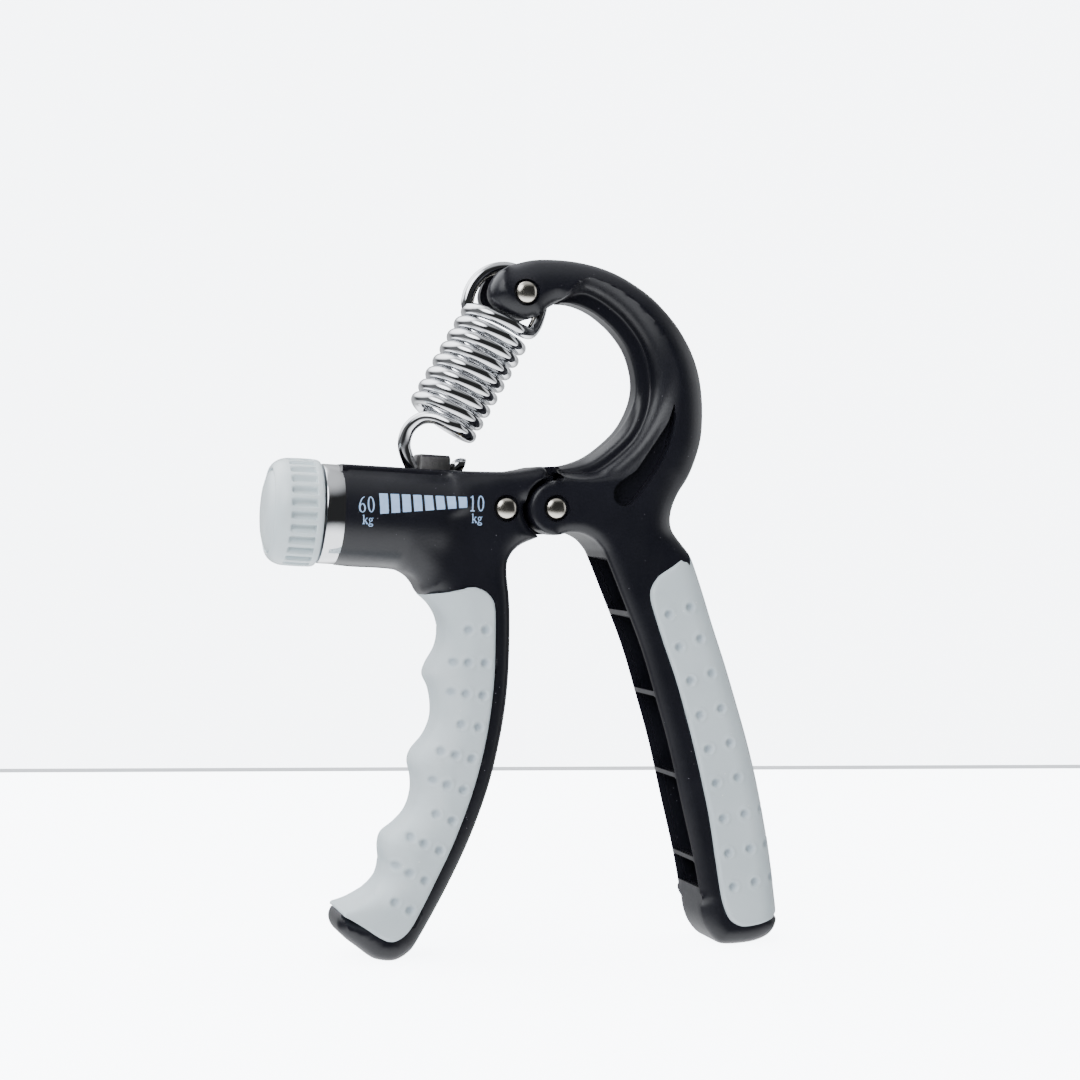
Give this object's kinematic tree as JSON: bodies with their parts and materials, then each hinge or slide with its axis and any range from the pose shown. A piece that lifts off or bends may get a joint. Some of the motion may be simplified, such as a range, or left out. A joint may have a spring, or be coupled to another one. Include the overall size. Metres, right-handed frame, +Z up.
{
  "type": "hand grip strengthener",
  "caption": "Spring-loaded hand grip trainer with two handles, soft grips, a C-shaped arm, and a knob that slides the spring hook to set the force.",
  "frame": {"origin": "centre of the footprint on the floor, in the mid-plane of the two handles", "axes": "+Z up from the floor with the object standing on its two handle ends, +X from the adjuster knob towards the rear handle, Y along the hinge pin"},
  "size_m": [0.1132, 0.023, 0.1493],
  "materials": {
    "black_plastic": "satin moulded",
    "grip_rubber": "matte soft elastomer with dimples",
    "knob_plastic": "frosted translucent",
    "chrome": "polished",
    "nickel": "nickel plated",
    "slider_metal": "sintered, dark",
    "brass": "turned",
    "print": "pale blue ink"
  },
  "bodies": {
    "front": {"front_handle": "black_plastic", "front_grip": "grip_rubber", "barrel_collar": "chrome", "scale_marks": "print", "screw_bush": "brass", "tail_bush": "brass", "hinge_link": "black_plastic", "link_rivet": "nickel"},
    "rear": {"rear_handle": "black_plastic", "rear_grip": "grip_rubber", "hinge_pin": "nickel", "spring_pin": "nickel", "pin_sleeve": "nickel"},
    "adjuster": {"knob": "knob_plastic", "knob_cap": "knob_plastic", "lead_screw": "nickel", "retaining_clip": "nickel"},
    "slider": {"slider": "slider_metal", "slider_nut": "brass"},
    "coil": {"spring_coil": "chrome"},
    "hook": {"spring_lower_hook": "chrome"},
    "end_turn": {"spring_end_turn": "chrome"},
    "loop": {"spring_upper_loop": "chrome"}
  },
  "joints": [
    {"name": "squeeze", "type": "hinge", "parent": "front", "child": "rear", "pos_m": [0.005, 0, 0.0956], "axis": [0, 1, 0], "range_deg": [0, 35], "stiffness_Nm_per_rad": 6, "springref_deg": -20.05},
    {"name": "slider_travel", "type": "slide", "parent": "front", "child": "slider", "axis": [0.9983, 0, -0.0576], "range_m": [-0.01, 0.007]},
    {"name": "knob_turn", "type": "hinge", "parent": "front", "child": "adjuster", "pos_m": [-0.041, 0, 0.0943], "axis": [-0.9983, 0, 0.0576], "range_deg": [-1801, 1261]},
    {"name": "hook_squeeze_swing", "type": "hinge", "parent": "slider", "child": "coil", "pos_m": [-0.02039, 0, 0.10603], "axis": [0, 1, 0], "range_deg": [-0.1, 27.5], "deforming": ["spring_coil"]},
    {"name": "hook_knob_swing", "type": "hinge", "parent": "coil", "child": "hook", "pos_m": [-0.02039, 0, 0.10603], "axis": [0, 1, 0], "range_deg": [-6.4, 9.1]},
    {"name": "coil_knob_stretch", "type": "slide", "parent": "hook", "child": "end_turn", "axis": [0.5, 0, 0.866], "range_m": [-0.00395, 0.00558], "deforming": ["spring_end_turn", "spring_lower_hook"]},
    {"name": "coil_squeeze_stretch", "type": "slide", "parent": "end_turn", "child": "loop", "axis": [0.5, 0, 0.866], "range_m": [-0.0001, 0.0154], "deforming": ["spring_upper_loop"]}
  ],
  "couplings": [
    {"joint": "knob_turn", "follows": "slider_travel", "rad_per_m": 3141.6},
    {"joint": "hook_squeeze_swing", "follows": "squeeze", "ratio": 0.778},
    {"joint": "hook_knob_swing", "follows": "slider_travel", "rad_per_m": -15.49},
    {"joint": "coil_knob_stretch", "follows": "slider_travel", "ratio": -0.554},
    {"joint": "coil_squeeze_stretch", "follows": "squeeze", "m_per_rad": 0.0249}
  ]
}
